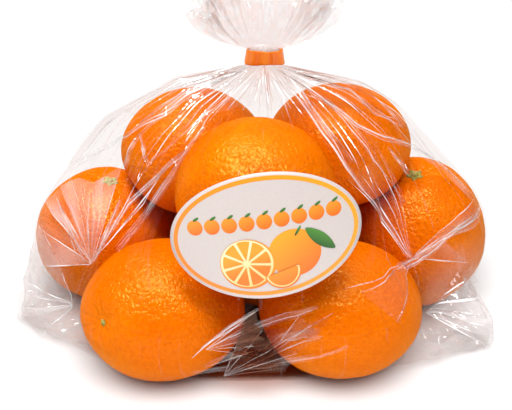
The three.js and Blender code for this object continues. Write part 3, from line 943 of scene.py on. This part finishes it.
def oval(width, height):
    return lambda angle, share: (width * share * np.cos(angle), height * share * np.sin(angle))


def sector(radius, start, sweep):
    # A slice of a disc, as a star-shaped patch around a point inside it
    def outline(angle, share):
        turn = np.linspace(0, 1, 400)
        arc = start + turn * sweep
        rim = np.stack([radius * np.cos(arc), radius * np.sin(arc)], axis=1)
        sides = [np.outer(np.linspace(1, 0, 60), rim[-1]), np.outer(np.linspace(0, 1, 60), rim[0])]
        edge = np.vstack([rim, *sides])
        middle = edge.mean(axis=0)
        toward = np.arctan2(*(edge - middle).T[::-1])
        order = np.argsort(toward)
        far = np.linalg.norm(edge - middle, axis=1)
        reach = np.interp(angle, toward[order], far[order], period=2 * math.pi)
        return middle[0] + share * reach * np.cos(angle), middle[1] + share * reach * np.sin(angle)
    return outline


def makeLabel():
    paper = makePaper()
    bm = discMesh(14, 144)
    grid = pointsOf(bm)
    placePoints(bm, labelPoints(grid[:, 0] * label["halfWidth"], grid[:, 1] * label["halfHeight"],
                                np.zeros(len(grid))))
    sheet = makePiece("label_paper", bm, paper)
    thick = sheet.modifiers.new("thick", "SOLIDIFY")
    thick.thickness = label["thick"] * mm
    thick.offset = 1
    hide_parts("label")
    outer = (label["halfWidth"] - label["rim"], label["halfHeight"] - label["rim"])
    innerShare = 1 - label["ring"] / outer[0]

    def ringPlace(angle, share):
        inwards = label["ring"] * (1 - share) / (1 - innerShare)
        return (outer[0] - inwards) * np.cos(angle), (outer[1] - inwards) * np.sin(angle)

    printShape("label_ring", makeInk("ring", "#e0660a", "#ffa51f"), 1, ringPlace, (0, 0), rings=2, steps=180,
               innerShare=innerShare, shadeFrom=(0.4, 0.2))
    skin = makeInk("fruitSkin", "#d86204", "#f49a10")
    pith = makeInk("pith", "#e8c074", "#f0dcae")
    pulp = makeInk("pulp", "#e47004", "#f69414")
    green = makeInk("leaf", "#143f18", "#4f8a34")
    printShape("label_fruit", skin, 1, oval(11.7, 11.0), (11.6, -8.9), shadeFrom=(-0.5, 0.8))
    printShape("label_half_skin", skin, 2, oval(12.4, 11.8), (-9.6, -11.4), shadeFrom=(0.2, 0.5))
    printShape("label_half_pith", pith, 3, oval(11.7, 11.1), (-10.0, -11.0))
    slices = 9
    for i in range(slices):
        turn = 360 / slices * i + 12
        half = math.radians(360 / slices / 2 - 1.1)
        middle = (-10.0 + 1.4 * math.cos(math.radians(turn)), -11.0 + 1.4 * math.sin(math.radians(turn)))
        printShape(f"label_segment_{i}", pulp, 4, sector(9.2, -half, 2 * half), middle, turn=turn, rings=4,
                   steps=48)
    for name, ink, layer, radius in (("skin", skin, 5, 8.4), ("pith", pith, 6, 7.7), ("pulp", pulp, 7, 7.0)):
        printShape("label_wedge_" + name, ink, layer, sector(radius, math.pi, math.pi), (5.0, -16.4), turn=14,
                   rings=5, steps=64)
    printShape("label_stalk", green, 2, oval(0.6, 2.6), (14.2, 0.9), turn=-38, rings=3, steps=32)

    def leafPlace(angle, share):
        return 8.4 * share * np.cos(angle), 2.9 * share * np.sin(angle) * (1 - 0.4 * np.cos(angle) ** 2)

    printShape("label_leaf", green, 3, leafPlace, (23.6, -4.6), turn=-45, shadeFrom=(0.6, 1.0))
    dots = makeInk("dot", "#dc6408", "#f78c1c")
    for i in range(9):
        across = -30.5 + 7.7 * i
        printShape(f"label_dot_{i}", dots, 1, oval(3.5, 3.5), (across, 7.4), rings=3, steps=40)
        printShape(f"label_dot_leaf_{i}", green, 2, oval(1.6, 0.6), (across + 1.0, 11.2), turn=30, rings=2,
                   steps=24)


makeLabel()
print("label made")


# Studio: a white table, soft white light and the photograph's view

studio = {
    "floor": 3.0,
    "camera": (1, -475.5, 312), "pitch": 28.27, "lens": 70.3125,
    "lights": {
        "top": {"at": (-0.15, -0.14, 1.30), "size": (1.3, 0.4), "power": 26},
        "ceiling": {"at": (0, 0.3, 1.7), "size": (2.4, 2.4), "power": 16},
        "left": {"at": (-1.1, -0.6, 0.75), "size": (0.2, 0.8), "power": 2.4},
        "right": {"at": (1.1, -0.5, 0.85), "size": (0.2, 0.8), "power": 2.4},
    },
    "floorSun": {"strength": 7.1, "spread": 45, "lean": 31},
    "card": {"at": (0, -0.30, 0.006), "size": (0.7, 0.34), "power": 1.5},
    "aim": (0, 0, 0.07),
    "world": 0.10,
}


def makeFloor():
    # Matt white laminate, plain as the photograph's ground
    material, add = newMaterial("mattStudioTable")
    place = add("TexCoord").outputs["Object"]
    grain = add("TexNoise", {"Vector": place, "Scale": 1 / 0.02, "Detail": 2.0})
    tone = add("ValToRGB", {"Fac": grain}, [(0.3, linear("#bebebe")), (0.7, linear("#c0c0c0"))])
    surface = add("BsdfPrincipled", {"Base Color": tone, "Roughness": 0.8, "Specular IOR Level": 0.1})
    add("OutputMaterial", {"Surface": surface})
    bm = bmesh.new()
    bmesh.ops.create_grid(bm, x_segments=4, y_segments=4, size=studio["floor"])
    mesh = bpy.data.meshes.new("floor")
    bm.to_mesh(mesh)
    bm.free()
    floor = bpy.data.objects.new("floor", mesh)
    mesh.materials.append(material)
    bpy.context.scene.collection.objects.link(floor)
    return floor


def hangLight(name, kind, at, turn, floor, state, **settings):
    lamp = bpy.data.lights.new(name, kind)
    for key, value in settings.items():
        setattr(lamp, key, value)
    holder = bpy.data.objects.new(name, lamp)
    holder.location = at
    holder.rotation_euler = turn
    bpy.context.scene.collection.objects.link(holder)
    # state says whether it lights the floor alone, or all but the floor
    linked = bpy.data.collections.new(name + "Linked")
    linked.objects.link(floor)
    linked.collection_objects[0].light_linking.link_state = state
    holder.light_linking.receiver_collection = linked
    return holder


def makeLights(floor):
    # The bag and its white ground are lit apart, as a product shot is, so that the ground stays even
    for name, one in studio["lights"].items():
        aim = (Vector(studio["aim"]) - Vector(one["at"])).to_track_quat("-Z", "Y").to_euler()
        hangLight(name, "AREA", one["at"], aim, floor, "EXCLUDE", shape="RECTANGLE", size=one["size"][0],
                  size_y=one["size"][1], energy=one["power"])
    # A white card on the table in front throws light up on the fruit
    card = studio["card"]
    holder = hangLight("card", "AREA", card["at"], (math.pi, 0, 0), floor, "EXCLUDE", shape="RECTANGLE",
                       size=card["size"][0], size_y=card["size"][1], energy=card["power"])
    holder.visible_camera = False
    holder.visible_glossy = False
    sun = studio["floorSun"]
    hangLight("floorSun", "SUN", (0, 0, 2), (math.radians(sun["lean"]), 0, 0), floor, "INCLUDE",
              energy=sun["strength"], angle=math.radians(sun["spread"]))
    world = bpy.data.worlds.new("studio")
    bpy.context.scene.world = world
    world.use_nodes = True
    background = world.node_tree.nodes["Background"]
    background.inputs["Color"].default_value = (1, 1, 1, 1)
    background.inputs["Strength"].default_value = studio["world"]


def makeCamera():
    data = bpy.data.cameras.new("camera")
    data.lens = studio["lens"]
    data.sensor_width = 36
    data.clip_start = 0.05
    camera = bpy.data.objects.new("camera", data)
    camera.location = [x * mm for x in studio["camera"]]
    camera.rotation_euler = (math.radians(90 - studio["pitch"]), 0, 0)
    bpy.context.scene.collection.objects.link(camera)
    bpy.context.scene.camera = camera


makeLights(makeFloor())
makeCamera()
bpy.context.scene.view_settings.view_transform = "Standard"
print("studio made")
